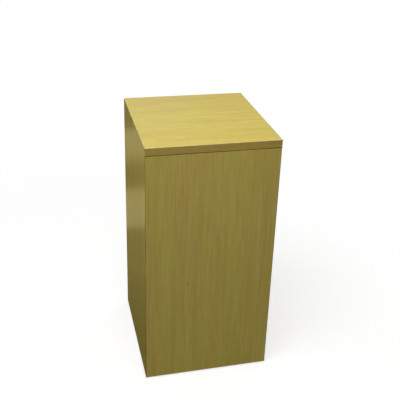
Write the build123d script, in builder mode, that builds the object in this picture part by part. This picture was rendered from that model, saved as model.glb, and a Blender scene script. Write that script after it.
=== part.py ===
"""Display plinth in melamine-faced chipboard: a tall box with a mitred top, open underneath.

Frame: +Z up, the front faces -Y, +X is the right-hand side.
The origin is on the floor, under the middle of the plinth. All sizes are in millimetres.
"""
import os

from build123d import *

os.makedirs("parts", exist_ok=True)

# Overall sizes of the boarded case, without the glides
width = 305
depth = 330
case_height = 610

# Melamine-faced chipboard, the rounding of its outer corners, and the eased edge under the top
board = 18
arris = 0.8
seam_ease = 0.5

# Plastic band on the top board's front and back edges
band = 1
band_round = 0.5

# Softwood battens: square ones in the corners and under the top, taller rails at the base
batten = 20
rail_height = 45
batten_ease = 1.5
batten_end_gap = 0.5

# Countersunk chipboard screws through the battens into the boards
screw_length = 30
shank_diameter = 3.5
head_diameter = 7
head_angle = 90
point_length = 5
recess_span = 3.6
recess_slot = 1
recess_depth = 1.6
screw_clearance = 0.1
pilot_extra = 1
screw_stagger = 24
corner_screw_count = 3
depth_screw_count = 3
width_screw_count = 2

# Beech biscuits across the joints
biscuit_length = 53
biscuit_width = 19
biscuit_thickness = 4
biscuit_blunt = 2
biscuit_from_faces = 10
biscuit_side_clearance = 0.1
biscuit_end_clearance = 0.5
corner_biscuit_count = 3
edge_biscuit_count = 2

# Nail-on plastic glides and their nails
glide_diameter = 19
glide_height = 3
glide_round = 1
nail_diameter = 2
nail_length = 16
nail_point = 2
nail_head_diameter = 5
nail_head_height = 0.8
nail_head_recess = 0.6
nail_clearance = 0.1

# Heights and half sizes that follow
base_z = glide_height
top_z = base_z + case_height
seam_z = top_z - board
half_width = width / 2
half_depth = depth / 2
inner_half_width = half_width - board
inner_half_depth = half_depth - board
batten_x = inner_half_width - batten / 2
batten_y = inner_half_depth - batten / 2
corner_bottom = base_z + rail_height + batten_end_gap
corner_length = seam_z - batten - batten_end_gap - corner_bottom
side_length = 2 * (inner_half_depth - batten_end_gap)
end_length = 2 * (inner_half_width - batten - batten_end_gap)

sides = {"left": -1, "right": 1}
ends = {"front": -1, "back": 1}


def spread(count, span):
    """Centres of count equal stretches of a span about zero."""
    return [span * ((i + 0.5) / count - 0.5) for i in range(count)]


# Entry planes of the screws, on the battens' inner faces and facing the hollow

def on_side(side, y, z):
    """Plane on a batten of the left or right board."""
    return Plane(origin=(side * (inner_half_width - batten), y, z), z_dir=(-side, 0, 0))


def on_end(end, x, z):
    """Plane on a batten of the front or back board."""
    return Plane(origin=(x, end * (inner_half_depth - batten), z), z_dir=(0, -end, 0))


def from_below(x, y):
    """Plane under a batten of the top board."""
    return Plane(origin=(x, y, seam_z - batten), z_dir=(0, 0, -1))


corner_middle = corner_bottom + corner_length / 2
corner_heights = [corner_middle + z for z in spread(corner_screw_count, corner_length)]
side_places = spread(depth_screw_count, side_length)
end_places = spread(width_screw_count, end_length)
top_batten_middle = seam_z - batten / 2
rail_middle = base_z + rail_height / 2


def corner_into_side(side, end):
    """Screws of one corner batten into the left or right board."""
    return [on_side(side, end * batten_y, z - screw_stagger / 2) for z in corner_heights]


def corner_into_end(side, end):
    """Screws of one corner batten into the front or back board."""
    return [on_end(end, side * batten_x, z + screw_stagger / 2) for z in corner_heights]


def side_batten_up(side):
    """Screws of a side's top batten into the top board."""
    return [from_below(side * batten_x, y - screw_stagger / 2) for y in side_places]


def side_batten_across(side):
    """Screws of a side's top batten into the side board."""
    return [on_side(side, y + screw_stagger / 2, top_batten_middle) for y in side_places]


def end_batten_up(end):
    """Screws of an end's top batten into the top board."""
    return [from_below(x - screw_stagger / 2, end * batten_y) for x in end_places]


def end_batten_across(end):
    """Screws of an end's top batten into the front or back board."""
    return [on_end(end, x + screw_stagger / 2, top_batten_middle) for x in end_places]


def rail_into_side(side):
    """Screws of a side's base rail into the side board."""
    return [on_side(side, y, rail_middle) for y in side_places]


def rail_into_end(end):
    """Screws of an end's base rail into the front or back board."""
    return [on_end(end, x, rail_middle) for x in end_places]


# Middle planes of the biscuits: x along the joint, y across it, z through the biscuit's thickness

wall_height = seam_z - base_z
wall_middle = base_z + wall_height / 2
corner_biscuit_heights = [wall_middle + z for z in spread(corner_biscuit_count, wall_height)]


def corner_biscuits_at(side, end):
    """Biscuits across one vertical mitre."""
    x = side * (half_width - biscuit_from_faces)
    y = end * (half_depth - biscuit_from_faces)
    heights = corner_biscuit_heights
    return [Plane(origin=(x, y, z), x_dir=(0, 0, 1), z_dir=(side, end, 0)) for z in heights]


def top_mitre_biscuits_at(side):
    """Biscuits across the mitre between the top board and one side board."""
    x = side * (half_width - biscuit_from_faces)
    z = top_z - biscuit_from_faces
    places = spread(edge_biscuit_count, depth)
    return [Plane(origin=(x, y, z), x_dir=(0, 1, 0), z_dir=(side, 0, 1)) for y in places]


def top_butt_biscuits_at(end):
    """Biscuits between the front or back board's upper end and the top board."""
    y = end * (half_depth - board / 2)
    places = spread(edge_biscuit_count, width)
    return [Plane(origin=(x, y, seam_z), x_dir=(1, 0, 0), z_dir=(0, 1, 0)) for x in places]


# A board's outline seen from above and from the front: a mitred strip of the whole rounded outline

def plan_of_side(side):
    """Corners, from above, of the left or right board between its two mitres."""
    outer_corners = [(side * half_width, y) for y in (-half_depth, half_depth)]
    inner_corners = [(side * inner_half_width, y) for y in (inner_half_depth, -inner_half_depth)]
    return outer_corners + inner_corners


def plan_of_end(end):
    """Corners, from above, of the front or back board between its two mitres."""
    outer_corners = [(x, end * half_depth) for x in (-half_width, half_width)]
    inner_corners = [(x, end * inner_half_depth) for x in (inner_half_width, -inner_half_width)]
    return outer_corners + inner_corners


def case_elevation():
    """Rounded outline of the whole case seen from the front, drawn in the open sketch."""
    with Locations((0, base_z + case_height / 2)):
        RectangleRounded(width, case_height, arris)


# Biscuits and the slots that they sit in

def biscuit_blank(end_slack, side_slack):
    """A flat lens with blunt tips, larger by the slack all round."""
    half_length = biscuit_length / 2 + biscuit_blunt
    half_breadth = biscuit_width / 2 + end_slack
    with BuildPart() as blank:
        with BuildSketch():
            with BuildLine():
                ThreePointArc((-half_length, 0), (0, half_breadth), (half_length, 0))
                ThreePointArc((half_length, 0), (0, -half_breadth), (-half_length, 0))
            make_face()
            Rectangle(biscuit_length + 2 * end_slack, 2 * half_breadth, mode=Mode.INTERSECT)
        extrude(amount=biscuit_thickness / 2 + side_slack, both=True)
    return blank.part


biscuit = biscuit_blank(0, 0)
slot = biscuit_blank(biscuit_end_clearance, biscuit_side_clearance)

with BuildPart() as corner_biscuits:
    for side in sides.values():
        for end in ends.values():
            with Locations(*corner_biscuits_at(side, end)):
                add(biscuit)

with BuildPart() as top_mitre_biscuits:
    for side in sides.values():
        with Locations(*top_mitre_biscuits_at(side)):
            add(biscuit)

with BuildPart() as top_butt_biscuits:
    for end in ends.values():
        with Locations(*top_butt_biscuits_at(end)):
            add(biscuit)

# One screw, its head's face at the origin and its point down the local -Z

head_height = (head_diameter - shank_diameter) / 2

with BuildPart() as screw:
    with BuildSketch(Plane.XZ):
        with BuildLine():
            Polyline(
                (0, 0),
                (head_diameter / 2, 0),
                (shank_diameter / 2, -head_height),
                (shank_diameter / 2, point_length - screw_length),
                (0, -screw_length),
                close=True,
            )
        make_face()
    revolve(axis=Axis.Z)
    with BuildSketch():
        Rectangle(recess_span, recess_slot)
        Rectangle(recess_slot, recess_span)
    extrude(amount=-recess_depth, mode=Mode.SUBTRACT)


def sink_screws():
    """Countersunk clearance holes in the open part, at the open locations."""
    CounterSinkHole(
        radius=shank_diameter / 2 + screw_clearance,
        counter_sink_radius=head_diameter / 2 + screw_clearance,
        depth=screw_length,
        counter_sink_angle=head_angle,
    )


def pilot_holes():
    """Blind holes in the open board for the screws that enter at the open locations."""
    Hole(radius=shank_diameter / 2 + screw_clearance, depth=screw_length + pilot_extra)


with BuildPart() as corner_batten_screws:
    for side in sides.values():
        for end in ends.values():
            with Locations(*corner_into_side(side, end), *corner_into_end(side, end)):
                add(screw.part)

with BuildPart() as top_batten_screws:
    for side in sides.values():
        with Locations(*side_batten_up(side), *side_batten_across(side)):
            add(screw.part)
    for end in ends.values():
        with Locations(*end_batten_up(end), *end_batten_across(end)):
            add(screw.part)

with BuildPart() as base_rail_screws:
    for side in sides.values():
        with Locations(*rail_into_side(side)):
            add(screw.part)
    for end in ends.values():
        with Locations(*rail_into_end(end)):
            add(screw.part)

groups = {
    "corner_biscuits": corner_biscuits,
    "top_mitre_biscuits": top_mitre_biscuits,
    "top_butt_biscuits": top_butt_biscuits,
    "corner_batten_screws": corner_batten_screws,
    "top_batten_screws": top_batten_screws,
    "base_rail_screws": base_rail_screws,
}
for name, group in groups.items():
    group.part.label = name
    export_step(group.part, f"parts/{name}.step")

# Top board: mitred to the side boards in elevation, its front and back edges set back by the band

with BuildPart() as top_board:
    with BuildSketch(Plane.XZ):
        case_elevation()
        Polygon(
            (-half_width, top_z),
            (half_width, top_z),
            (inner_half_width, seam_z),
            (-inner_half_width, seam_z),
            mode=Mode.INTERSECT,
        )
    extrude(amount=half_depth - band, both=True)
    for side in sides.values():
        with Locations(*side_batten_up(side)):
            pilot_holes()
        with Locations(*top_mitre_biscuits_at(side)):
            add(slot, mode=Mode.SUBTRACT)
    for end in ends.values():
        with Locations(*end_batten_up(end)):
            pilot_holes()
        with Locations(*top_butt_biscuits_at(end)):
            add(slot, mode=Mode.SUBTRACT)
top_board.part.label = "top_board"
export_step(top_board.part, "parts/top_board.step")

# Side boards: mitred in plan to the front and back boards, and in elevation to the top board

for side_name, side in sides.items():
    with BuildPart() as side_board:
        with BuildSketch(Plane.XY.offset(base_z)):
            RectangleRounded(width, depth, arris)
            Polygon(*plan_of_side(side), mode=Mode.INTERSECT)
        extrude(amount=wall_height)
        with BuildSketch(Plane.XZ):
            case_elevation()
            Polygon(
                (side * half_width, seam_z),
                (side * half_width, top_z),
                (side * inner_half_width, seam_z),
                mode=Mode.INTERSECT,
            )
        extrude(amount=half_depth - band, both=True)
        for end in ends.values():
            with Locations(*corner_into_side(side, end)):
                pilot_holes()
            with Locations(*corner_biscuits_at(side, end)):
                add(slot, mode=Mode.SUBTRACT)
        with Locations(*side_batten_across(side), *rail_into_side(side)):
            pilot_holes()
        with Locations(*top_mitre_biscuits_at(side)):
            add(slot, mode=Mode.SUBTRACT)
    side_board.part.label = f"{side_name}_board"
    export_step(side_board.part, f"parts/{side_name}_board.step")

# Front and back boards: mitred in plan, butted under the top board with an eased outer edge

for end_name, end in ends.items():
    with BuildPart() as end_board:
        with BuildSketch(Plane.XY.offset(base_z)):
            RectangleRounded(width, depth, arris)
            Polygon(*plan_of_end(end), mode=Mode.INTERSECT)
        extrude(amount=wall_height)
        upper_edges = end_board.edges().filter_by(Axis.X).group_by(Axis.Z)[-1]
        chamfer(max(upper_edges, key=lambda edge: end * edge.center().Y), seam_ease)
        for side in sides.values():
            with Locations(*corner_into_end(side, end)):
                pilot_holes()
            with Locations(*corner_biscuits_at(side, end)):
                add(slot, mode=Mode.SUBTRACT)
        with Locations(*end_batten_across(end), *rail_into_end(end)):
            pilot_holes()
        with Locations(*top_butt_biscuits_at(end)):
            add(slot, mode=Mode.SUBTRACT)
    end_board.part.label = f"{end_name}_board"
    export_step(end_board.part, f"parts/{end_name}_board.step")

# Plastic bands over the top board's front and back edges and the ends of the side boards' mitres

for end_name, end in ends.items():
    with BuildPart() as edge_band:
        with BuildSketch(Plane.XZ.offset(-end * (half_depth - band))):
            case_elevation()
            with Locations((0, seam_z)):
                Rectangle(width, board, align=(Align.CENTER, Align.MIN), mode=Mode.INTERSECT)
        extrude(amount=-end * band)
        outer_face = edge_band.faces().sort_by(Axis.Y)[0 if end < 0 else -1]
        fillet(outer_face.edges(), band_round)
    edge_band.part.label = f"top_{end_name}_band"
    export_step(edge_band.part, f"parts/top_{end_name}_band.step")

# Corner battens: upright in the four inner corners, between the base rails and the top battens

for side_name, side in sides.items():
    for end_name, end in ends.items():
        with BuildPart() as corner_batten:
            with BuildSketch(Plane.XY.offset(corner_bottom)):
                with Locations((side * batten_x, end * batten_y)):
                    Rectangle(batten, batten)
            extrude(amount=corner_length)
            upright_edges = corner_batten.edges().filter_by(Axis.Z)
            free_edge = min(upright_edges, key=lambda edge: side * edge.center().X + end * edge.center().Y)
            chamfer(free_edge, batten_ease)
            with Locations(*corner_into_side(side, end), *corner_into_end(side, end)):
                sink_screws()
        name = f"{end_name}_{side_name}_corner_batten"
        corner_batten.part.label = name
        export_step(corner_batten.part, f"parts/{name}.step")

# Top battens: two along the depth, and two between them along the width

for side_name, side in sides.items():
    with BuildPart() as side_batten:
        with BuildSketch(Plane.XY.offset(seam_z - batten)):
            with Locations((side * batten_x, 0)):
                Rectangle(batten, side_length)
        extrude(amount=batten)
        lower_edges = side_batten.edges().filter_by(Axis.Y).group_by(Axis.Z)[0]
        chamfer(min(lower_edges, key=lambda edge: side * edge.center().X), batten_ease)
        with Locations(*side_batten_up(side), *side_batten_across(side)):
            sink_screws()
    side_batten.part.label = f"{side_name}_top_batten"
    export_step(side_batten.part, f"parts/{side_name}_top_batten.step")

for end_name, end in ends.items():
    with BuildPart() as end_batten:
        with BuildSketch(Plane.XY.offset(seam_z - batten)):
            with Locations((0, end * batten_y)):
                Rectangle(end_length, batten)
        extrude(amount=batten)
        lower_edges = end_batten.edges().filter_by(Axis.X).group_by(Axis.Z)[0]
        chamfer(min(lower_edges, key=lambda edge: end * edge.center().Y), batten_ease)
        with Locations(*end_batten_up(end), *end_batten_across(end)):
            sink_screws()
    end_batten.part.label = f"{end_name}_top_batten"
    export_step(end_batten.part, f"parts/{end_name}_top_batten.step")

# Base rails: flush with the boards' lower ends, the two along the depth carrying the glides' nails

for side_name, side in sides.items():
    with BuildPart() as side_rail:
        with BuildSketch(Plane.XY.offset(base_z)):
            with Locations((side * batten_x, 0)):
                Rectangle(batten, side_length)
        extrude(amount=rail_height)
        upper_edges = side_rail.edges().filter_by(Axis.Y).group_by(Axis.Z)[-1]
        chamfer(min(upper_edges, key=lambda edge: side * edge.center().X), batten_ease)
        with Locations(*rail_into_side(side)):
            sink_screws()
        with Locations(*[(side * batten_x, end * batten_y, base_z) for end in ends.values()]):
            Hole(radius=nail_diameter / 2 + nail_clearance, depth=nail_length)
    side_rail.part.label = f"{side_name}_base_rail"
    export_step(side_rail.part, f"parts/{side_name}_base_rail.step")

for end_name, end in ends.items():
    with BuildPart() as end_rail:
        with BuildSketch(Plane.XY.offset(base_z)):
            with Locations((0, end * batten_y)):
                Rectangle(end_length, batten)
        extrude(amount=rail_height)
        upper_edges = end_rail.edges().filter_by(Axis.X).group_by(Axis.Z)[-1]
        chamfer(min(upper_edges, key=lambda edge: end * edge.center().Y), batten_ease)
        with Locations(*rail_into_end(end)):
            sink_screws()
    end_rail.part.label = f"{end_name}_base_rail"
    export_step(end_rail.part, f"parts/{end_name}_base_rail.step")

# Glides: round plastic pads under the corners, each with a pocket for its nail's head

for side_name, side in sides.items():
    for end_name, end in ends.items():
        with BuildPart(Plane((side * batten_x, end * batten_y, 0))) as glide:
            Cylinder(glide_diameter / 2, glide_height, align=(Align.CENTER, Align.CENTER, Align.MIN))
            fillet(glide.edges().group_by(Axis.Z)[0], glide_round)
            with Locations(Plane(origin=(0, 0, 0), z_dir=(0, 0, -1))):
                CounterBoreHole(
                    radius=nail_diameter / 2 + nail_clearance,
                    counter_bore_radius=nail_head_diameter / 2 + nail_clearance,
                    counter_bore_depth=nail_head_recess + nail_head_height,
                )
        name = f"{end_name}_{side_name}_glide"
        glide.part.label = name
        export_step(glide.part, f"parts/{name}.step")

with BuildPart() as nail:
    with BuildSketch(Plane.XZ):
        with BuildLine():
            Polyline(
                (0, nail_head_recess),
                (nail_head_diameter / 2, nail_head_recess),
                (nail_head_diameter / 2, nail_head_recess + nail_head_height),
                (nail_diameter / 2, nail_head_recess + nail_head_height),
                (nail_diameter / 2, nail_head_recess + nail_length - nail_point),
                (0, nail_head_recess + nail_length),
                close=True,
            )
        make_face()
    revolve(axis=Axis.Z)

with BuildPart() as glide_nails:
    with GridLocations(2 * batten_x, 2 * batten_y, 2, 2):
        add(nail.part)
glide_nails.part.label = "glide_nails"
export_step(glide_nails.part, "parts/glide_nails.step")
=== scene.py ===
"""Looks of a display cube: a tall box plinth in maple-look melamine-faced chipboard.

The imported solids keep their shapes, and each sub-assembly below gives its nodes the finish of the
real material. A studio with a pale floor and a camera at the photograph's viewpoint complete the
scene. Lengths are in metres unless a name says mm.
"""

import logging
import math
from collections.abc import Sequence
from dataclasses import dataclass
from enum import Enum
from typing import Any

import bpy
import numpy as np
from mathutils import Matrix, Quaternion, Vector


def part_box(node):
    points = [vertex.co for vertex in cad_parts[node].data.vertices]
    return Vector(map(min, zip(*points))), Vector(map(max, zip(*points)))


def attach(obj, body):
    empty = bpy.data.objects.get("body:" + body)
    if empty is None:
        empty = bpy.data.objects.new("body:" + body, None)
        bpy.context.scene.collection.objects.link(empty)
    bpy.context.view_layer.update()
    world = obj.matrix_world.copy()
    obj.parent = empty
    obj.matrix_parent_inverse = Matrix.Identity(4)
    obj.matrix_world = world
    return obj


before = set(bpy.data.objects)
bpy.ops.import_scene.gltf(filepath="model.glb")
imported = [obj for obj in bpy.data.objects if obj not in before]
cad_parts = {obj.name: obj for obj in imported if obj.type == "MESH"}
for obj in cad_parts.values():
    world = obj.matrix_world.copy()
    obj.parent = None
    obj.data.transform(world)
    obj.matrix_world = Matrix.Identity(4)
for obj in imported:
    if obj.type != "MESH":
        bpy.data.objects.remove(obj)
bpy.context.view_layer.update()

MM = 0.001
# Dark glue at the joints. The same brown paints the shade in the seams under the top's bands.
GLUE_AND_SHADE_BROWN = "#5A4119"
# Pale tone of the painted highlights along the rounded arrises of the top.
ARRIS_HIGHLIGHT_PALE = "#E3D28E"
WHITE = (1.0, 1.0, 1.0, 1.0)

log = logging.getLogger("display_cube")

Colour = tuple[float, float, float, float]
Tree = bpy.types.NodeTree
Node = bpy.types.Node
Socket = bpy.types.NodeSocket
Material = bpy.types.Material
Shade = Socket | Colour


def linear(colour: str) -> Colour:
    """Turn an sRGB hex colour into linear values with full opacity.

    Each channel is divided by 12.92 in the darkest part of the curve, and elsewhere is
    (c + 0.055) / 1.055 to the power 2.4.

    Args:
        colour: "#RRGGBB".

    Returns:
        Linear red, green, blue and 1.
    """
    channels = [int(colour[start : start + 2], 16) / 255 for start in (1, 3, 5)]
    red, green, blue = (
        c / 12.92 if c <= 0.04045 else ((c + 0.055) / 1.055) ** 2.4 for c in channels
    )
    return red, green, blue, 1.0


def add(
    tree: Tree, kind: str, inputs: dict[str | int, Any] | None = None, **settings: Any
) -> Node:
    """Add one shader node with its settings and its links.

    Args:
        tree: node tree that gets the node.
        kind: node type without the word ShaderNode.
        inputs: for each socket name or number, a value, or the socket or node that feeds it. A
            node feeds it from its first output.
        settings: properties of the node, such as operation="ADD".

    Returns:
        The new node.
    """
    node = tree.nodes.new(f"ShaderNode{kind}")
    for name, value in settings.items():
        setattr(node, name, value)
    for key, value in (inputs or {}).items():
        source = value.outputs[0] if isinstance(value, Node) else value
        if isinstance(source, Socket):
            tree.links.new(source, node.inputs[key])
        else:
            node.inputs[key].default_value = source
    return node


def empty_material(name: str) -> tuple[Material, Tree]:
    """Make a material whose node tree holds nothing yet.

    Args:
        name: the material's name.

    Returns:
        The material and its node tree.
    """
    material = bpy.data.materials.new(name)
    material.use_nodes = True
    material.node_tree.nodes.clear()
    return material, material.node_tree


class Ease(Enum):
    """How a colour comes in between two values: evenly, or with a soft start and end."""

    EVEN = "LINEAR"
    SOFT = "SMOOTHSTEP"


def tint(
    tree: Tree,
    ground: Shade,
    colour: str,
    value: Socket,
    start: float,
    full: float,
    strength: float = 1.0,
    ease: Ease = Ease.SOFT,
) -> Socket:
    """Lay a colour over a ground as a value passes from start to full.

    Args:
        tree: node tree of the material.
        ground: colour underneath.
        colour: the colour to lay on.
        value: the value that it follows.
        start: value at which it begins to show.
        full: value at which it shows at its full strength. It may be less than start.
        strength: how far it then covers the ground.
        ease: how it comes in.

    Returns:
        The ground with the colour on it.
    """
    cover = add(
        tree,
        "MapRange",
        {"Value": value, "From Min": start, "From Max": full, "To Max": strength},
        interpolation_type=ease.value,
    )
    laid = add(tree, "Mix", {0: cover, 6: ground, 7: linear(colour)}, data_type="RGBA")
    return laid.outputs[2]


def clouded(
    tree: Tree, point: Socket, size_mm: float, detail: float, dark: str, pale: str
) -> tuple[Socket, Socket]:
    """Mix two tones in soft clouds.

    Args:
        tree: node tree of the material.
        point: object coordinates.
        size_mm: size of a cloud.
        detail: how many finer layers a cloud has.
        dark: tone between the clouds.
        pale: tone of the clouds.

    Returns:
        How thick the clouds are, and the mixed tone.
    """
    clouds = add(tree, "TexNoise", {"Vector": point, "Scale": 1 / (size_mm * MM), "Detail": detail})
    mixed = add(tree, "Mix", {0: clouds, 6: linear(dark), 7: linear(pale)}, data_type="RGBA")
    return clouds.outputs[0], mixed.outputs[2]


def grit(
    tree: Tree, point: Socket, size_mm: float, detail: float, height_mm: float, strength: float
) -> Socket:
    """Give a surface a fine, even relief.

    Args:
        tree: node tree of the material.
        point: object coordinates.
        size_mm: size of a grain.
        detail: how many finer layers a grain has.
        height_mm: height of a grain.
        strength: how far the relief bends the surface.

    Returns:
        The bent normal.
    """
    grains = add(tree, "TexNoise", {"Vector": point, "Scale": 1 / (size_mm * MM), "Detail": detail})
    bend = {"Strength": strength, "Distance": height_mm * MM, "Height": grains}
    return add(tree, "Bump", bend).outputs[0]


def ring_scale(ring_mm: float) -> float:
    """Scale of a ring wave, which turns by 20 radians for each unit of length times scale."""
    return 2 * math.pi / (20 * ring_mm * MM)


def dress(node: str, material: Material) -> None:
    """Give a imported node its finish, in place of the plain one in its slots.

    Args:
        node: the node's name.
        material: the finish.
    """
    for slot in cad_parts[node].material_slots:
        slot.material = material
    log.info("%s is finished in %s", node, material.name)


class Grain(Enum):
    """The way wood grain lies: the axis it runs along, and the axis that crosses it on the face."""

    TOP = (0, 1)
    BAND = (0, 2)
    SIDE_RAIL = (1, 2)
    FRONT = (2, 0)
    SIDE = (2, 1)

    def stretch(self, along_mm: float, across_mm: float) -> tuple[float, float, float]:
        """Scale for object coordinates that makes a patch of this size one unit long and wide.

        Args:
            along_mm: length of a patch along the grain.
            across_mm: width of a patch.

        Returns:
            The scale on X, Y and Z, with 0 through the thickness.
        """
        scale = [0.0, 0.0, 0.0]
        along_axis, across_axis = self.value
        scale[along_axis] = 1 / (along_mm * MM)
        scale[across_axis] = 1 / (across_mm * MM)
        return scale[0], scale[1], scale[2]


@dataclass(frozen=True)
class Streaks:
    """One layer of wood figure: patches of a colour, drawn out along the grain.

    The colour begins to cover the ground where smooth noise passes start, and reaches its full
    strength at full. A layer's place in the endless noise is its seed times seed_way.
    """

    colour: str
    along_mm: float
    across_mm: float
    start: float
    full: float
    strength: float
    detail: float = 2.0
    wander: float = 0.3
    seed_way: tuple[float, float, float] = (1.0, 1.7, 2.3)

    def lay(self, tree: Tree, point: Socket, grain: Grain, seed: float, ground: Shade) -> Socket:
        """Lay this layer over a ground colour.

        Args:
            tree: node tree of the material.
            point: object coordinates.
            grain: the way the patches run.
            seed: what sets this layer apart from the others.
            ground: colour under the layer.

        Returns:
            The colour with the layer on it.
        """
        place = add(
            tree,
            "Mapping",
            {
                "Vector": point,
                "Scale": grain.stretch(self.along_mm, self.across_mm),
                "Location": [seed * step for step in self.seed_way],
            },
        )
        noise = add(
            tree,
            "TexNoise",
            {"Vector": place, "Scale": 1.0, "Detail": self.detail, "Distortion": self.wander},
        )
        value = noise.outputs[0]
        return tint(tree, ground, self.colour, value, self.start, self.full, self.strength)


@dataclass(frozen=True)
class Crown:
    """The nested arches of a crown-cut sheet, where its plane runs slantwise through growth rings.

    A point's distance from the heart is the length of (width, tilt times run), both measured from
    the heart, so rings of one spacing show as long ovals, close at the sides and wide at the peaks.
    """

    colour: str
    heart: tuple[float, float]
    tilt: float
    ring_mm: float
    strength: float
    late_from: float = 0.35

    def lay(self, tree: Tree, point: Socket, grain: Grain, ground: Socket) -> Socket:
        """Lay the arches over a ground colour.

        Args:
            tree: node tree of the material.
            point: object coordinates.
            grain: the way the arches point.
            ground: colour under the arches.

        Returns:
            The colour with the arches on it.
        """
        along_axis, across_axis = grain.value
        scale = [0.0, 0.0, 0.0]
        start = [0.0, 0.0, 0.0]
        scale[along_axis] = self.tilt
        scale[across_axis] = 1.0
        start[along_axis] = -self.tilt * self.heart[0]
        start[across_axis] = -self.heart[1]
        place = add(tree, "Mapping", {"Vector": point, "Scale": scale, "Location": start})
        rings = add(
            tree,
            "TexWave",
            {
                "Vector": place,
                "Scale": ring_scale(self.ring_mm),
                "Distortion": 5.0,
                "Detail": 2.0,
                "Detail Scale": 0.35,
            },
            wave_type="RINGS",
            rings_direction="SPHERICAL",
            wave_profile="SAW",
        )
        value = rings.outputs["Fac"]
        return tint(tree, ground, self.colour, value, self.late_from, 1.0, self.strength)


@dataclass(frozen=True)
class Fleck:
    """One dark fleck of the print, where a small pin knot was: a soft oval along the grain.

    Its reach is 0 in the middle and 1 at the rim, and it begins to fade at faded_from.
    """

    across: float
    along: float
    length_mm: float
    width_mm: float
    strength: float
    colour: str = "#7C6430"
    faded_from: float = 0.3

    def lay(self, tree: Tree, point: Socket, grain: Grain, ground: Socket) -> Socket:
        """Lay the fleck over a ground colour.

        Args:
            tree: node tree of the material.
            point: object coordinates.
            grain: the way the fleck lies.
            ground: colour under the fleck.

        Returns:
            The colour with the fleck on it.
        """
        scale = grain.stretch(self.length_mm / 2, self.width_mm / 2)
        along_axis, across_axis = grain.value
        start = [0.0, 0.0, 0.0]
        start[along_axis] = -self.along * scale[along_axis]
        start[across_axis] = -self.across * scale[across_axis]
        place = add(tree, "Mapping", {"Vector": point, "Scale": scale, "Location": start})
        reach = add(tree, "VectorMath", {0: place}, operation="LENGTH").outputs["Value"]
        return tint(tree, ground, self.colour, reach, 1.0, self.faded_from, self.strength)


@dataclass(frozen=True)
class Hairline:
    """A thin line along an edge: full out to half_mm, and faded over the next soft_mm.

    It draws dark glue lines, painted shade in the seams under the top's bands, and painted highlights
    along rounded arrises. Real glue lines are about 0.3 mm wide. They are drawn about 1 mm wide, so
    that they show.
    """

    half_mm: float
    colour: str
    strength: float
    soft_mm: float = 0.25

    def draw(self, tree: Tree, ground: Socket, distance: Socket) -> Socket:
        """Draw the line over a ground colour.

        Args:
            tree: node tree of the material.
            ground: colour under the line.
            distance: distance from the line's middle.

        Returns:
            The colour with the line on it.
        """
        full = self.half_mm * MM
        start = full + self.soft_mm * MM
        return tint(tree, ground, self.colour, distance, start, full, self.strength, Ease.EVEN)


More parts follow.
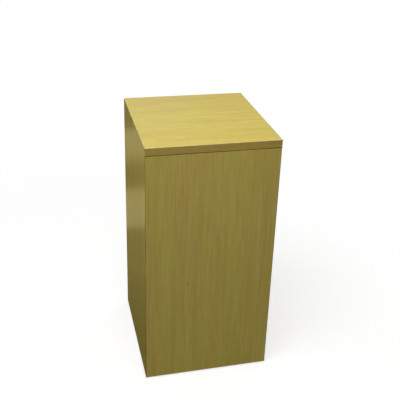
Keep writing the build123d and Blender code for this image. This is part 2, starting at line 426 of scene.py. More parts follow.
@dataclass(frozen=True)
class FacedBoard:
    """Melamine-faced chipboard: printed maple paper, soaked in resin, pressed on a fine pearl plate.

    It gives the eye an even straw yellow with faint brown and olive bands, soft fibres and small
    dark flecks, under a low gloss that shows most at a shallow angle. Cut ends show the chips of the
    core, and each mitre shows a hair of dark glue. A pale line along the top's left edge is a painted
    highlight on its rounded arris, and its right edge shows the glue of the mitre. The seam under the
    top's band is dark glue with painted shade of its groove.
    """

    name: str
    grain: Grain
    seed: float
    heart: tuple[float, float]
    cut_ends: bool = True
    drawn_out: float = 1.0
    flecks: tuple[Fleck, ...] = ()
    half_width: float = 152.5 * MM
    half_depth: float = 165.0 * MM
    top: float = 613.0 * MM
    seam_depth: float = 18.0 * MM
    ground: str = "#CDBA57"
    layer_step: float = 11.3
    ior: float = 1.5
    roughness: float = 0.33
    roughness_swing: float = 0.05
    roughness_patch_mm: float = 25.0
    corner_line: Hairline = Hairline(1.2, GLUE_AND_SHADE_BROWN, 0.5)
    # A painted highlight along the top's left arris.
    arris_highlight: Hairline = Hairline(0.8, ARRIS_HIGHLIGHT_PALE, 0.7)
    mitre_line: Hairline = Hairline(1.0, GLUE_AND_SHADE_BROWN, 0.6)
    # Dark glue with painted shade of the groove in the seam under the top's band.
    seam_glue_and_shade: Hairline = Hairline(1.1, GLUE_AND_SHADE_BROWN, 0.75)
    chip_mm: float = 2.0
    chip_dark: str = "#8A6A43"
    chip_pale: str = "#C9A877"
    level_from: float = 0.5
    sawn_below: float = 10.0 * MM
    sawn_roughness: float = 0.9

    def figure(self) -> tuple[Streaks, ...]:
        """Layers of the printed paper, from broad bands down to fibres and flecks."""
        drawn = self.drawn_out
        return (
            Streaks("#C9A35A", 700 * drawn, 34, 0.46, 0.70, 0.40),
            Streaks("#BAB14C", 450 * drawn, 26, 0.48, 0.72, 0.36),
            Streaks("#D6C878", 260 * drawn, 11, 0.48, 0.72, 0.34),
            Streaks("#B59A4A", 190 * drawn, 7, 0.48, 0.72, 0.28, 3.0),
            # Real fibres are about 1 mm wide. They are drawn 3 to 5 mm wide here, because a pixel
            # of the photograph covers 2.5 mm of the board.
            Streaks("#AD9046", 45 * drawn, 3.2, 0.46, 0.74, 0.26, 3.0),
            Streaks("#8E7434", 18, 2.2, 0.70, 0.77, 0.28, 1.0),
        )

    def printed(self, tree: Tree, point: Socket) -> Socket:
        """Colour of the printed paper.

        Args:
            tree: node tree of the material.
            point: object coordinates.

        Returns:
            The colour, with every layer of the figure laid on.
        """
        colour: Shade = linear(self.ground)
        for number, layer in enumerate(self.figure()):
            seed = self.seed + self.layer_step * number
            colour = layer.lay(tree, point, self.grain, seed, colour)
        crown = Crown("#B8A14C", self.heart, tilt=0.12, ring_mm=11.0, strength=0.11)
        colour = crown.lay(tree, point, self.grain, colour)
        for fleck in self.flecks:
            colour = fleck.lay(tree, point, self.grain, colour)
        return colour

    def edges(self, tree: Tree, axes: Node, depth: Socket) -> tuple[Socket, Socket, Socket]:
        """How near the surface lies to an upright mitre and to the two mitres of the top.

        A corner is rounded, so the distances from its two faces add up to 0.47 mm in the middle of
        the round and to 0.8 mm at its ends. They add up to more everywhere else.

        Args:
            tree: node tree of the material.
            axes: node with the point's X, Y and Z.
            depth: depth of the point below the top.

        Returns:
            The sum of the distances for an upright corner, the top's left edge and its right edge.
        """
        x, y = axes.outputs[0], axes.outputs[1]
        left = add(tree, "Math", {0: self.half_width, 1: x}, operation="ADD")
        right = add(tree, "Math", {0: self.half_width, 1: x}, operation="SUBTRACT")
        side = add(tree, "Math", {0: left, 1: right}, operation="MINIMUM")
        size = add(tree, "Math", {0: y}, operation="ABSOLUTE")
        face = add(tree, "Math", {0: self.half_depth, 1: size}, operation="SUBTRACT")
        upright = add(tree, "Math", {0: side, 1: face}, operation="ADD")
        top_left = add(tree, "Math", {0: left, 1: depth}, operation="ADD")
        top_right = add(tree, "Math", {0: right, 1: depth}, operation="ADD")
        return upright.outputs[0], top_left.outputs[0], top_right.outputs[0]

    def hairlines(self, tree: Tree, axes: Node, depth: Socket, ground: Socket) -> Socket:
        """Draw the lines along the board's edges: dark glue, a painted highlight on the top's left
        arris, and the top's seam in dark glue with painted shade.

        Args:
            tree: node tree of the material.
            axes: node with the point's X, Y and Z.
            depth: depth of the point below the top.
            ground: colour under the lines.

        Returns:
            The colour with the lines on it.
        """
        upright, top_left, top_right = self.edges(tree, axes, depth)
        colour = self.corner_line.draw(tree, ground, upright)
        # Painted highlight along the top's left arris.
        colour = self.arris_highlight.draw(tree, colour, top_left)
        colour = self.mitre_line.draw(tree, colour, top_right)
        if self.grain is Grain.FRONT:
            # The seam under the band: dark glue with painted shade of its groove.
            from_seam = add(tree, "Math", {0: depth, 1: self.seam_depth}, operation="SUBTRACT")
            off = add(tree, "Math", {0: from_seam}, operation="ABSOLUTE")
            colour = self.seam_glue_and_shade.draw(tree, colour, off.outputs[0])
        return colour

    def core(self, tree: Tree, point: Socket) -> Socket:
        """Colour of sawn chipboard: pressed chips in mixed browns.

        Args:
            tree: node tree of the material.
            point: object coordinates.

        Returns:
            The colour of the core.
        """
        chips = add(tree, "TexVoronoi", {"Vector": point, "Scale": 1 / (self.chip_mm * MM)})
        tone = add(tree, "SeparateColor", {0: chips.outputs["Color"]})
        tones = {0: tone.outputs[0], 6: linear(self.chip_dark), 7: linear(self.chip_pale)}
        return add(tree, "Mix", tones, data_type="RGBA").outputs[2]

    def bare(self, tree: Tree, normal: Socket, depth: Socket) -> Socket:
        """Where an upright board shows its sawn core: on faces that lie level below the top.

        Args:
            tree: node tree of the material.
            normal: the surface's direction in object space.
            depth: depth of the point below the top.

        Returns:
            1 on the sawn ends, and 0 on the faces.
        """
        axes = add(tree, "SeparateXYZ", {0: normal})
        level = add(tree, "Math", {0: axes.outputs[2]}, operation="ABSOLUTE").outputs[0]
        sawn = add(tree, "Math", {0: level, 1: self.level_from}, operation="GREATER_THAN")
        under = add(tree, "Math", {0: depth, 1: self.sawn_below}, operation="GREATER_THAN")
        both = add(tree, "Math", {0: sawn, 1: under}, operation="MULTIPLY")
        return both.outputs[0]

    def material(self) -> Material:
        """Build the board's own material.

        Returns:
            The material.
        """
        material, tree = empty_material(self.name)
        coordinates = add(tree, "TexCoord")
        point = coordinates.outputs["Object"]
        axes = add(tree, "SeparateXYZ", {0: point})
        depth = add(tree, "Math", {0: self.top, 1: axes.outputs[2]}, operation="SUBTRACT")

        colour = self.printed(tree, point)
        patch_scale = 1 / (self.roughness_patch_mm * MM)
        patches = add(tree, "TexNoise", {"Vector": point, "Scale": patch_scale, "Detail": 3.0})
        low, high = self.roughness - self.roughness_swing, self.roughness + self.roughness_swing
        roughness = add(tree, "MapRange", {"Value": patches, "To Min": low, "To Max": high})
        if self.cut_ends:
            bare = self.bare(tree, coordinates.outputs["Normal"], depth.outputs[0])
            core = self.core(tree, point)
            ended = add(tree, "Mix", {0: bare, 6: colour, 7: core}, data_type="RGBA")
            colour = ended.outputs[2]
            roughness = add(tree, "Mix", {0: bare, 2: roughness, 3: self.sawn_roughness})
        colour = self.hairlines(tree, axes, depth.outputs[0], colour)

        # The pressing plate's pearl is about 0.4 mm across. It is drawn at 1.2 mm, so that it shows.
        pearl = grit(tree, point, size_mm=1.2, detail=1.0, height_mm=0.02, strength=0.25)
        look = {"Base Color": colour, "Roughness": roughness, "IOR": self.ior, "Normal": pearl}
        add(tree, "OutputMaterial", {"Surface": add(tree, "BsdfPrincipled", look)})
        return material


@dataclass(frozen=True)
class EdgeBand:
    """ABS edge band, printed to go with the boards and lacquered.

    It gives the eye a slightly browner straw than the boards, with short streaks along the edge
    and the same low gloss. Its lower edge has a dark line of glue with painted shade of the seam
    groove, and its upper edge has a painted highlight along the rounded arris.
    """

    name: str
    seed: float
    ground: str = "#B99E4A"
    top: float = 613.0 * MM
    width: float = 18.0 * MM
    layers: tuple[Streaks, ...] = (
        Streaks("#AC8B43", 160, 9.0, 0.45, 0.70, 0.40),
        Streaks("#CDB768", 90, 5.0, 0.52, 0.76, 0.35),
        Streaks("#8A6A34", 18, 1.8, 0.62, 0.72, 0.35, 1.0),
    )
    layer_step: float = 7.9
    # Dark glue with painted shade of the seam groove under the band.
    lower_glue_and_shade: Hairline = Hairline(0.8, GLUE_AND_SHADE_BROWN, 0.75)
    # A painted highlight along the band's rounded upper arris.
    upper_arris_highlight: Hairline = Hairline(0.7, ARRIS_HIGHLIGHT_PALE, 0.6)
    roughness: float = 0.36
    ior: float = 1.53

    def material(self) -> Material:
        """Build the band's own material.

        Returns:
            The material.
        """
        material, tree = empty_material(self.name)
        point = add(tree, "TexCoord").outputs["Object"]
        colour: Shade = linear(self.ground)
        for number, layer in enumerate(self.layers):
            seed = self.seed + self.layer_step * number
            colour = layer.lay(tree, point, Grain.BAND, seed, colour)
        height = add(tree, "SeparateXYZ", {0: point}).outputs[2]
        foot = self.top - self.width
        above = add(tree, "Math", {0: height, 1: foot}, operation="SUBTRACT")
        below = add(tree, "Math", {0: self.top, 1: height}, operation="SUBTRACT")
        # Dark glue with painted shade of the seam groove under the lower edge.
        colour = self.lower_glue_and_shade.draw(tree, colour, above.outputs[0])
        # Painted highlight along the upper arris.
        colour = self.upper_arris_highlight.draw(tree, colour, below.outputs[0])
        look = {"Base Color": colour, "Roughness": self.roughness, "IOR": self.ior}
        add(tree, "OutputMaterial", {"Surface": add(tree, "BsdfPrincipled", look)})
        return material


@dataclass(frozen=True)
class Softwood:
    """Planed pine strip, left raw.

    It gives the eye pale cream earlywood with thin orange-brown late rings, arcs of rings on its
    ends, and a dry, matt surface. Rings wander slowly along the tree, so their pattern is squeezed
    on that axis.
    """

    name: str
    grain: Grain
    heart: tuple[float, float, float]
    seed: float
    ring_mm: float = 1.9
    squeeze: float = 0.05
    early: str = "#E0C695"
    late: str = "#BC8A50"
    late_from: float = 0.55
    late_strength: float = 0.85
    late_height: float = 0.1 * MM
    fibres: Streaks = Streaks("#A97B47", 70, 1.1, 0.52, 0.76, 0.4, 3.0)
    roughness: float = 0.72
    ior: float = 1.5

    def material(self) -> Material:
        """Build the strip's own material.

        Returns:
            The material.
        """
        material, tree = empty_material(self.name)
        point = add(tree, "TexCoord").outputs["Object"]
        along_axis = self.grain.value[0]
        scale = [1.0, 1.0, 1.0]
        scale[along_axis] = self.squeeze
        start = [-size * squeeze for size, squeeze in zip(self.heart, scale)]
        place = add(tree, "Mapping", {"Vector": point, "Scale": scale, "Location": start})
        rings = add(
            tree,
            "TexWave",
            {
                "Vector": place,
                "Scale": ring_scale(self.ring_mm),
                "Distortion": 2.5,
                "Detail": 1.0,
                "Detail Scale": 0.3,
            },
            wave_type="RINGS",
            rings_direction="XYZ"[along_axis],
            wave_profile="SAW",
        )
        late = add(
            tree,
            "MapRange",
            {
                "Value": rings.outputs["Fac"],
                "From Min": self.late_from,
                "From Max": 1.0,
                "To Max": self.late_strength,
            },
            interpolation_type=Ease.SOFT.value,
        )
        tones = {0: late, 6: linear(self.early), 7: linear(self.late)}
        ringed = add(tree, "Mix", tones, data_type="RGBA").outputs[2]
        colour = self.fibres.lay(tree, point, self.grain, self.seed, ringed)
        relief = add(tree, "Bump", {"Strength": 0.4, "Distance": self.late_height, "Height": late})
        look = {"Base Color": colour, "Roughness": self.roughness, "IOR": self.ior, "Normal": relief}
        add(tree, "OutputMaterial", {"Surface": add(tree, "BsdfPrincipled", look)})
        return material


@dataclass(frozen=True)
class PressedBeech:
    """Beech biscuit, stamped from steamed and pressed slivers.

    It gives the eye a pinkish brown with short dark rays and no gloss.
    """

    name: str = "pressed_beech"
    rays: Streaks = Streaks("#94663F", 3.0, 0.6, 0.58, 0.68, 0.5)
    seed: float = 4.0
    roughness: float = 0.8

    def material(self) -> Material:
        """Build the biscuits' material.

        Returns:
            The material.
        """
        material, tree = empty_material(self.name)
        point = add(tree, "TexCoord").outputs["Object"]
        ground = clouded(tree, point, size_mm=6, detail=4.0, dark="#C79A70", pale="#D9B58C")[1]
        colour = self.rays.lay(tree, point, Grain.SIDE, self.seed, ground)
        look = {"Base Color": colour, "Roughness": self.roughness}
        add(tree, "OutputMaterial", {"Surface": add(tree, "BsdfPrincipled", look)})
        return material


@dataclass(frozen=True)
class ZincPlate:
    """Bright zinc plating on steel screws and nails.

    It gives the eye a cool grey metal with cloudy patches, a little duller where it was handled.
    """

    name: str = "bright_zinc_plate"
    smoothest: float = 0.22
    dullest: float = 0.42

    def material(self) -> Material:
        """Build the fixings' material.

        Returns:
            The material.
        """
        material, tree = empty_material(self.name)
        point = add(tree, "TexCoord").outputs["Object"]
        clouds, colour = clouded(tree, point, size_mm=1.5, detail=3.0, dark="#B9BBB8", pale="#D3D1C8")
        dulling = {"Value": clouds, "To Min": self.smoothest, "To Max": self.dullest}
        roughness = add(tree, "MapRange", dulling)
        look = {"Base Color": colour, "Metallic": 1.0, "Roughness": roughness}
        add(tree, "OutputMaterial", {"Surface": add(tree, "BsdfPrincipled", look)})
        return material


@dataclass(frozen=True)
class GlidePlastic:
    """Brown polypropylene, injection-moulded, with a spark-eroded face.

    It gives the eye a dark waxy brown with a broad soft shine and a fine even grain.
    """

    name: str = "brown_polypropylene"
    roughness: float = 0.45
    ior: float = 1.49

    def material(self) -> Material:
        """Build the glides' material.

        Returns:
            The material.
        """
        material, tree = empty_material(self.name)
        point = add(tree, "TexCoord").outputs["Object"]
        colour = clouded(tree, point, size_mm=7, detail=2.0, dark="#533A27", pale="#664A34")[1]
        spark = grit(tree, point, size_mm=0.4, detail=1.0, height_mm=0.03, strength=0.5)
        look = {"Base Color": colour, "Roughness": self.roughness, "IOR": self.ior, "Normal": spark}
        add(tree, "OutputMaterial", {"Surface": add(tree, "BsdfPrincipled", look)})
        return material


@dataclass(frozen=True)
class CuredGlue:
    """White wood glue, squeezed out of a joint and dried clear.

    It gives the eye a thin amber bead with a soft wet shine, cloudier where it is thick.
    """

    name: str = "cured_wood_glue"
    roughness: float = 0.28
    ior: float = 1.47

    def material(self) -> Material:
        """Build the beads' material.

        Returns:
            The material.
        """
        material, tree = empty_material(self.name)
        point = add(tree, "TexCoord").outputs["Object"]
        colour = clouded(tree, point, size_mm=9, detail=3.0, dark="#B98F48", pale="#E6D5A4")[1]
        skin = grit(tree, point, size_mm=1.5, detail=2.0, height_mm=0.1, strength=0.4)
        look = {"Base Color": colour, "Roughness": self.roughness, "IOR": self.ior, "Normal": skin}
        add(tree, "OutputMaterial", {"Surface": add(tree, "BsdfPrincipled", look)})
        return material


@dataclass
class Case:
    """The five faced boards of the box and the two bands on the top's cut edges."""

    band_seeds: tuple[tuple[str, float], ...] = (("top_front_band", 5.0), ("top_back_band", 18.0))
    front_flecks: tuple[Fleck, ...] = (
        Fleck(-0.051, 0.265, length_mm=13.0, width_mm=5.0, strength=0.4),
        Fleck(-0.125, 0.501, length_mm=9.0, width_mm=4.0, strength=0.3),
        Fleck(0.056, 0.203, length_mm=9.0, width_mm=4.0, strength=0.3),
        Fleck(0.111, 0.159, length_mm=9.0, width_mm=4.0, strength=0.3),
    )

    def boards(self) -> dict[str, FacedBoard]:
        """The finish of each board: grain across the top, and upright on the four sides."""
        return {
            "top_board": FacedBoard(
                "maple_melamine_top", Grain.TOP, 22.4, (-0.42, -0.02), cut_ends=False, drawn_out=0.4
            ),
            "front_board": FacedBoard(
                "maple_melamine_front", Grain.FRONT, 19.8, (-0.12, -0.01), flecks=self.front_flecks
            ),
            "back_board": FacedBoard("maple_melamine_back", Grain.FRONT, 29.2, (0.02, 0.05)),
            "left_board": FacedBoard("maple_melamine_left", Grain.SIDE, 41.7, (-0.2, 0.04)),
            "right_board": FacedBoard("maple_melamine_right", Grain.SIDE, 53.9, (-0.05, -0.05)),
        }

    def dress(self) -> None:
        """Finish every board and band."""
        for node, board in self.boards().items():
            dress(node, board.material())
        for node, seed in self.band_seeds:
            dress(node, EdgeBand(f"printed_abs_{node}", seed).material())


@dataclass
class Framing:
    """The pine battens and rails inside the box, each strip cut from its own place in a tree.

    The tree's heart lies off the strip's middle, at a random turn and reach. Its height follows
    the turn by a fixed phase.
    """

    seed: int = 7
    heart_min: float = 22 * MM
    heart_max: float = 60 * MM
    height_phase: float = 1.9
    seed_step: float = 3.7

    def grain(self, node: str) -> Grain:
        """The way a strip runs, from its name.

        Args:
            node: name of the batten or rail.

        Returns:
            Its grain.
        """
        if "corner" in node:
            return Grain.FRONT
        return Grain.BAND if node.startswith(("front", "back")) else Grain.SIDE_RAIL

    def dress(self) -> None:
        """Finish every batten and rail."""
        draw = np.random.default_rng(self.seed)
        strips = sorted(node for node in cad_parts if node.endswith(("batten", "rail")))
        for node in strips:
            low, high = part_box(node)
            turn = draw.uniform(0, 2 * math.pi)
            reach = draw.uniform(self.heart_min, self.heart_max)
            height = math.sin(turn + self.height_phase)
            away = Vector((math.cos(turn), math.sin(turn), height)) * reach
            heart = (low + high) / 2 + away
            seed = self.seed_step * len(node)
            strip = Softwood(f"planed_pine_{node}", self.grain(node), tuple(heart), seed)
            dress(node, strip.material())


@dataclass
class Fixings:
    """The biscuits, screws, nails and glides, which share one finish for each kind."""

    biscuits: tuple[str, ...] = ("corner_biscuits", "top_mitre_biscuits", "top_butt_biscuits")
    metal: tuple[str, ...] = (
        "corner_batten_screws",
        "top_batten_screws",
        "base_rail_screws",
        "glide_nails",
    )

    def dress(self) -> None:
        """Finish every small part."""
        glides = sorted(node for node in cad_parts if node.endswith("glide"))
        kinds = ((PressedBeech(), self.biscuits), (ZincPlate(), self.metal), (GlidePlastic(), glides))
        for finish, nodes in kinds:
            material = finish.material()
            for node in nodes:
                dress(node, material)


@dataclass
class GlueBeads:
    """Beads of glue squeezed out along the two inside joints of each corner batten.

    A bead is a profile carried along a straight path. The profile is the joint's corner, a
    quarter circle of radius r from one face round to the other, and back to the corner. The radius
    is r(t) = mean * (1 + waves(t)) * sqrt(min(1, t / taper, (length - t) / taper)) at the distance t
    along the joint, and waves(t) is the sum of two sines with lengths and phases drawn at random.
    """

    corners: tuple[str, ...] = ("front_left", "front_right", "back_left", "back_right")
    mean: float = 1.5 * MM
    taper: float = 12 * MM
    end_gap: float = 4 * MM
    thinnest: float = 0.02
    rows: int = 180
    arc_points: int = 7
    wave_mm: tuple[tuple[float, float], ...] = ((45, 90), (14, 24))
    wave_heights: tuple[float, ...] = (0.35, 0.18)
    seed: int = 11

    def radii(self, length: float, draw: np.random.Generator) -> tuple[np.ndarray, np.ndarray]:
        """Distances along a joint, closer together at its ends, and the bead's radius there.

        Args:
            length: length of the bead.
            draw: source of the random waves.

        Returns:
            The distances and the radii.
        """
        # The distance is length * (1 - cos(pi * share)) / 2, for even steps of the share.
        share = np.linspace(0, 1, self.rows)
        along = length * (1 - np.cos(math.pi * share)) / 2
        waves = np.zeros(self.rows)
        for (low, high), height in zip(self.wave_mm, self.wave_heights):
            wave = draw.uniform(low, high) * MM
            phase = draw.uniform(0, 2 * math.pi)
            waves += height * np.sin(2 * math.pi * along / wave + phase)
        to_end = np.minimum(along, length - along) / self.taper
        return along, self.mean * (1 + waves) * np.sqrt(np.clip(to_end, self.thinnest, 1))

    def bead(
        self, foot: Vector, side_a: Vector, side_b: Vector, length: float, draw: np.random.Generator
    ) -> tuple[np.ndarray, list[tuple[int, ...]]]:
        """Work out one upright bead.

        Args:
            foot: lower end of the joint's line.
            side_a: direction along the first face, away from the joint.
            side_b: direction along the second face, away from the joint.
            length: length of the bead.
            draw: source of the random waves.

        Returns:
            Its points, row by row up the joint, and its faces.
        """
        along, radius = self.radii(length, draw)
        turn = np.linspace(0, math.pi / 2, self.arc_points)
        on_a = np.concatenate(([0.0], np.cos(turn)))
        on_b = np.concatenate(([0.0], np.sin(turn)))
        points = (
            np.array(foot)
            + radius[:, None, None] * (on_a[:, None] * np.array(side_a))
            + radius[:, None, None] * (on_b[:, None] * np.array(side_b))
            + along[:, None, None] * np.array((0.0, 0.0, 1.0))
        )
        around = self.arc_points + 1
        row, column = np.meshgrid(np.arange(self.rows - 1), np.arange(around), indexing="ij")
        here = row * around + column
        beside = row * around + (column + 1) % around
        walls = np.stack((here, beside, beside + around, here + around), axis=-1).reshape(-1, 4)
        last = (self.rows - 1) * around
        caps = [tuple(range(around))[::-1], tuple(range(last, last + around))]
        if side_a.cross(side_b).z < 0:
            walls = walls[:, ::-1]
            caps = [cap[::-1] for cap in caps]
        return points.reshape(-1, 3), [tuple(wall) for wall in walls.tolist()] + caps

    def build(self) -> None:
        """Build the two beads of each corner as one piece, and let it ride on the body."""
        draw = np.random.default_rng(self.seed)
        glue = CuredGlue().material()
        for corner in self.corners:
            low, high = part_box(f"{corner}_corner_batten")
            x_faces = sorted((low[0], high[0]), key=abs)
            y_faces = sorted((low[1], high[1]), key=abs)
            to_middle_x = Vector((-math.copysign(1, x_faces[0]), 0, 0))
            to_middle_y = Vector((0, -math.copysign(1, y_faces[0]), 0))
            length = high[2] - low[2] - 2 * self.end_gap
            joints = (
                (x_faces[0], y_faces[1], to_middle_x, to_middle_y),
                (x_faces[1], y_faces[0], to_middle_y, to_middle_x),
            )
            points: list[np.ndarray] = []
            faces: list[tuple[int, ...]] = []
            for x, y, side_a, side_b in joints:
                foot = Vector((x, y, low[2] + self.end_gap))
                bead_points, bead_faces = self.bead(foot, side_a, side_b, length, draw)
                start = sum(len(block) for block in points)
                faces += [tuple(index + start for index in face) for face in bead_faces]
                points.append(bead_points)
            mesh = bpy.data.meshes.new(f"glue_beads_{corner}")
            mesh.from_pydata(np.concatenate(points).tolist(), [], faces)
            mesh.polygons.foreach_set("use_smooth", [True] * len(mesh.polygons))
            mesh.materials.append(glue)
            piece = bpy.data.objects.new(f"glue_beads_{corner}", mesh)
            bpy.context.scene.collection.objects.link(piece)
            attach(piece, "root")
            log.info("%s is finished in %s", piece.name, glue.name)


def flat_sheet(name: str, low: Sequence[float], high: Sequence[float]) -> bpy.types.Object:
    """Make a level or upright sheet of one face for the studio.

    Args:
        name: the object's name.
        low: its corner with the least X, Y and Z.
        high: its corner with the most. On one axis, which the sheet faces, it equals low.

    Returns:
        The object, at the origin.
    """
    across, along = (axis for axis in range(3) if low[axis] != high[axis])
    corners = [list(low) for _ in range(4)]
    corners[1][across] = corners[2][across] = high[across]
    corners[2][along] = corners[3][along] = high[along]
    mesh = bpy.data.meshes.new(name)
    mesh.from_pydata(corners, [], [(0, 1, 2, 3)])
    sheet = bpy.data.objects.new(name, mesh)
    bpy.context.scene.collection.objects.link(sheet)
    return sheet


@dataclass(frozen=True)
class Lamp:
    """A square soft lamp, which faces a point and which the camera doesn't see."""

    name: str
    place: tuple[float, float, float]
    aim: tuple[float, float, float]
    width: float
    watts: float

    def build(self) -> None:
        """Hang the lamp in its place."""
        lamp = bpy.data.lights.new(self.name, "AREA")
        lamp.shape = "SQUARE"
        lamp.size = self.width
        lamp.energy = self.watts
        holder = bpy.data.objects.new(self.name, lamp)
        holder.location = self.place
        direction = Vector(self.aim) - Vector(self.place)
        holder.rotation_euler = direction.to_track_quat("-Z", "Y").to_euler()
        holder.visible_camera = False
        bpy.context.scene.collection.objects.link(holder)


@dataclass
class Studio:
    """A pale floor, a white surround, a large soft lamp at the front left and a weak one behind.

    Camera, glossy and transmission rays see the surround as white. Other rays see a weaker grey,
    so the white adds no light to the object. The first lamp faces a little left of the object, so
    that its light fades to the right. The second reaches the back and the right side, which the
    photograph doesn't show.
    """

    floor_reach: float = 8.0
    white_from: float = 0.45
    white_full: float = 1.4
    ambient: float = 0.17
    floor_seen: float = 0.42
    floor_glow: float = 0.66
    floor_bounce: float = 0.27
    lamps: tuple[Lamp, ...] = (
        Lamp("soft_lamp", (-0.62, -0.68, 2.4), (-0.5, 0.0, 0.4), width=1.5, watts=47.8),
        Lamp("fill_lamp", (1.7, 1.6, 0.75), (0.0, 0.0, 0.3), width=1.0, watts=20.0),
    )

    def seen(self, tree: Tree) -> Socket:
        """Tell the rays that see the studio from those that only bring light.

        Args:
            tree: node tree of the surround or the floor.

        Returns:
            1 for camera, glossy and transmission rays, and 0 for all others.
        """
        path = add(tree, "LightPath").outputs
        seen = path["Is Camera Ray"]
        for ray in ("Is Glossy Ray", "Is Transmission Ray"):
            seen = add(tree, "Math", {0: seen, 1: path[ray]}, operation="MAXIMUM").outputs[0]
        return seen

    def build_world(self) -> None:
        """Set the surround: white where it is seen, weak grey where it only lights."""
        world = bpy.data.worlds.new("studio_surround")
        bpy.context.scene.world = world
        world.use_nodes = True
        tree = world.node_tree
        tree.nodes.clear()
        dim = add(tree, "Background", {"Color": WHITE, "Strength": self.ambient})
        white = add(tree, "Background", {"Color": WHITE, "Strength": 1.0})
        mixed = add(tree, "MixShader", {0: self.seen(tree), 1: dim, 2: white})
        add(tree, "OutputWorld", {"Surface": mixed})

    def floor_material(self) -> Material:
        """Painted studio floor: matt white, with the object's shadow, fading into the surround.

        Returns:
            The material.
        """
        material, tree = empty_material("white_studio_floor")
        point = add(tree, "TexCoord").outputs["Object"]
        reach = add(tree, "VectorMath", {0: point}, operation="LENGTH").outputs["Value"]
        fade = add(
            tree,
            "MapRange",
            {"Value": reach, "From Min": self.white_from, "From Max": self.white_full},
            interpolation_type=Ease.SOFT.value,
        )
        paint = add(tree, "BsdfDiffuse", {"Color": (self.floor_seen,) * 3 + (1.0,)})
        glow = add(tree, "Emission", {"Strength": self.floor_glow})
        white = add(tree, "Emission", {"Strength": 1.0})
        bounce = add(tree, "BsdfDiffuse", {"Color": (self.floor_bounce,) * 3 + (1.0,)})
        lit = add(tree, "AddShader", {0: paint, 1: glow})
        faded = add(tree, "MixShader", {0: fade, 1: lit, 2: white})
        floor = add(tree, "MixShader", {0: self.seen(tree), 1: bounce, 2: faded})
        add(tree, "OutputMaterial", {"Surface": floor})
        return material

    def build_floor(self) -> None:
        """Lay the floor under the object."""
        reach = self.floor_reach
        floor = flat_sheet("floor", (-reach, -reach, 0), (reach, reach, 0))
        floor.data.materials.append(self.floor_material())

    def build(self) -> None:
        """Build the surround, the floor and the lamps."""
        bpy.context.scene.view_settings.view_transform = "Standard"
        self.build_world()
        self.build_floor()
        for lamp in self.lamps:
            lamp.build()


@dataclass(frozen=True)
class Tone:
    """One tone painted on the side card, from a distance inwards, with a soft edge.

    The distance is that of the place on the floor behind the plinth which the card hides from the
    camera's mirror image in the left face.
    """

    colour: str
    starts: float
    soft: float


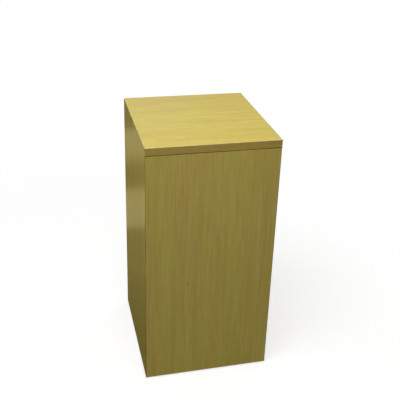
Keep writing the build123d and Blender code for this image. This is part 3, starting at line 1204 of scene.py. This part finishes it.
@dataclass
class ReflectionCards:
    """Toned cards that only reflections see, set as a photographer sets flags round a glossy box.

    They keep the white surround out of the left face, which the camera meets at a very shallow
    angle, and weaken it in the front and the top. The tones of the side card give the level bright
    bands that lie across the left face.
    """

    side_x: float = -212.5 * MM
    face_x: float = -152.5 * MM
    side_from: float = -0.45
    side_to: float = 1.3
    side_top: float = 0.9
    wall_y: float = 2.5
    wall_from: float = 0.5
    wall_to: float = 3.5
    front_reach: float = 2.0
    lift: float = 1.0 * MM
    mirrored_camera: tuple[float, float] = (-1.4659, 1.1691)
    first_tone: str = "#5A5030"
    tones: tuple[Tone, ...] = (
        Tone("#BFB27E", 1.520, 0.03),
        Tone("#746842", 1.160, 0.09),
        Tone("#C3B685", 0.882, 0.025),
        Tone("#746842", 0.585, 0.02),
        Tone("#3C3C20", 0.250, 0.15),
        Tone("#15230A", 0.030, 0.10),
    )
    front_tones: tuple[tuple[float, float, str], ...] = (
        (-3.0, -0.6, "#827672"),
        (-0.6, -0.165, "#6C613B"),
    )
    wall_tones: tuple[tuple[float, float, str], ...] = (
        (-1.5, 0.6, "#C5CDC6"),
        (0.6, 3.0, "#BCB095"),
    )

    def flat_tone(self, name: str, colour: str) -> Material:
        """Evenly lit painted card.

        Args:
            name: the material's name.
            colour: the tone that reflections show.

        Returns:
            The material.
        """
        material, tree = empty_material(name)
        tone = add(tree, "Emission", {"Color": linear(colour), "Strength": 1.0})
        add(tree, "OutputMaterial", {"Surface": tone})
        return material

    def banded_tones(self) -> Material:
        """Card painted in bands that look level in the left face.

        The line from the mirrored camera (y0, z0) through a point (y, z) of the card meets the floor
        at y0 + z0 * (y - y0) / (z0 - z), and each tone starts at one such distance.

        Returns:
            The material.
        """
        material, tree = empty_material("side_card_tones")
        camera_y, camera_z = self.mirrored_camera
        axes = add(tree, "SeparateXYZ", {0: add(tree, "TexCoord").outputs["Object"]})
        reach = add(tree, "Math", {0: axes.outputs[1], 1: camera_y}, operation="SUBTRACT")
        drop = add(tree, "Math", {0: camera_z, 1: axes.outputs[2]}, operation="SUBTRACT")
        slope = add(tree, "Math", {0: reach, 1: drop}, operation="DIVIDE")
        floor_y = add(tree, "Math", {0: slope, 1: camera_z, 2: camera_y}, operation="MULTIPLY_ADD")
        colour: Shade = linear(self.first_tone)
        for tone in self.tones:
            start = tone.starts + tone.soft
            full = tone.starts - tone.soft
            colour = tint(tree, colour, tone.colour, floor_y.outputs[0], start, full)
        glow = add(tree, "Emission", {"Color": colour, "Strength": 1.0})
        add(tree, "OutputMaterial", {"Surface": glow})
        return material

    def card(
        self, name: str, low: Sequence[float], high: Sequence[float], material: Material
    ) -> None:
        """Set up one card that only glossy rays meet.

        Args:
            name: the card's name.
            low: its corner with the least X, Y and Z.
            high: its corner with the most.
            material: its tone.
        """
        sheet = flat_sheet(name, low, high)
        sheet.data.materials.append(material)
        sheet.visible_camera = False
        sheet.visible_diffuse = False
        sheet.visible_transmission = False
        sheet.visible_volume_scatter = False
        sheet.visible_shadow = False

    def build(self) -> None:
        """Set up the side card with its foot, the wall cards and the cards on the front floor."""
        x, start, stop, lift = self.side_x, self.side_from, self.side_to, self.lift
        bands = self.banded_tones()
        self.card("side_card", (x, start, 0), (x, stop, self.side_top), bands)
        self.card("side_card_foot", (x, start, lift), (self.face_x, stop, lift), bands)
        y, foot, head = self.wall_y, self.wall_from, self.wall_to
        for number, (from_x, to_x, colour) in enumerate(self.wall_tones):
            tone = self.flat_tone(f"wall_tone_{number}", colour)
            self.card(f"wall_card_{number}", (from_x, y, foot), (to_x, y, head), tone)
        left, right = -self.front_reach, self.front_reach
        for number, (from_y, to_y, colour) in enumerate(self.front_tones):
            tone = self.flat_tone(f"front_tone_{number}", colour)
            self.card(f"front_card_{number}", (left, from_y, lift), (right, to_y, lift), tone)


@dataclass(frozen=True)
class Viewpoint:
    """The photograph's camera, found from the seven corners of the plinth that it shows.

    Angles are in degrees: azimuth round from the front, elevation above the horizon, and roll.
    The photograph is a crop, so its optical centre lies off the middle of the frame.
    """

    azimuth: float = -14.535
    elevation: float = 24.855
    roll: float = 1.999
    distance: float = 1.6689
    target: tuple[float, float, float] = (0.02411, 0.0, 0.46759)
    focal_px: float = 683.17
    optical_centre_px: tuple[float, float] = (206.0, 173.0)
    frame_px: float = 400.0
    sensor_mm: float = 36.0

    def build(self) -> None:
        """Make the camera and set it as the scene's own."""
        azimuth, elevation = math.radians(self.azimuth), math.radians(self.elevation)
        level = math.cos(elevation)
        back = Vector((math.sin(azimuth) * level, -math.cos(azimuth) * level, math.sin(elevation)))
        lens = bpy.data.cameras.new("photo_camera")
        lens.sensor_width = self.sensor_mm
        lens.lens = self.focal_px / self.frame_px * self.sensor_mm
        centre_x, centre_y = self.optical_centre_px
        lens.shift_x = (self.frame_px / 2 - centre_x) / self.frame_px
        lens.shift_y = (centre_y - self.frame_px / 2) / self.frame_px
        camera = bpy.data.objects.new("photo_camera", lens)
        camera.rotation_mode = "QUATERNION"
        roll = Quaternion((0, 0, 1), math.radians(self.roll))
        camera.rotation_quaternion = (-back).to_track_quat("-Z", "Y") @ roll
        camera.location = Vector(self.target) + back * self.distance
        bpy.context.scene.collection.objects.link(camera)
        bpy.context.scene.camera = camera


def main() -> None:
    """Dress the object, then build the studio and the camera."""
    Case().dress()
    Framing().dress()
    Fixings().dress()
    GlueBeads().build()
    Studio().build()
    ReflectionCards().build()
    Viewpoint().build()


if __name__ == "__main__":
    logging.basicConfig(level=logging.INFO, format="%(name)s: %(message)s")
    main()
